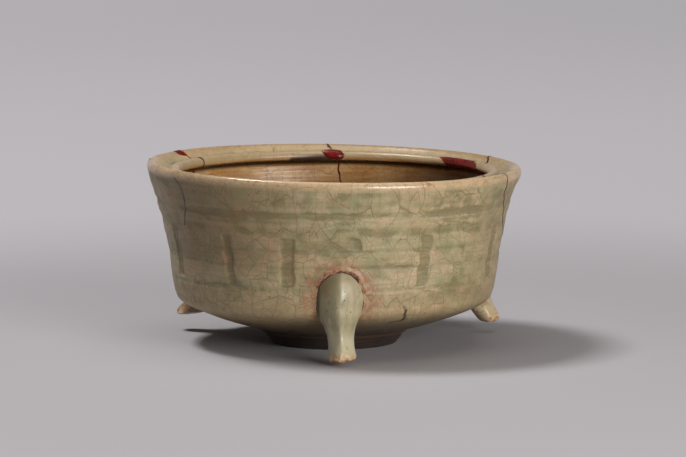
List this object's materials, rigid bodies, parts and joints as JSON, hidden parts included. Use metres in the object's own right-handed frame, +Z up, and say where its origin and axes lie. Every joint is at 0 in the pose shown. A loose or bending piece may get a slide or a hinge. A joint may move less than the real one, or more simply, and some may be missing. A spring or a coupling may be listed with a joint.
{
  "type": "tripod censer",
  "caption": "Round celadon tripod censer: flared bowl with trigram relief and flanged mouth, foot ring, cabriole legs, and rim sherds reset with red lacquer.",
  "frame": {"origin": "on the table under the middle of the vessel, centre of the foot ring's underside", "axes": "+Z up through the mouth; the front of the vessel, with one leg, faces -Y; +X is to the right as one faces it"},
  "size_m": [0.236, 0.236, 0.1135],
  "materials": {
    "celadon_glaze": "glossy crackled glaze",
    "luting_slip": "thin rusty glaze over slip",
    "red_lacquer": "glossy red lacquer",
    "bare_stoneware": "bare fired clay"
  },
  "bodies": {
    "root": {"bowl": "celadon_glaze", "right_sherd": "celadon_glaze", "back_sherd": "celadon_glaze", "left_back_sherd": "celadon_glaze", "front_leg": "celadon_glaze", "right_leg": "celadon_glaze", "left_leg": "celadon_glaze", "front_leg_luting": "luting_slip", "right_leg_luting": "luting_slip", "left_leg_luting": "luting_slip", "right_seam_lacquer": "red_lacquer", "back_seam_lacquer": "red_lacquer", "left_back_seam_lacquer": "red_lacquer", "right_bead_fill": "red_lacquer", "back_bead_fill": "red_lacquer", "left_lip_fill": "red_lacquer", "left_lip_chip_fill": "red_lacquer", "foot_ring": "bare_stoneware"}
  },
  "joints": []
}
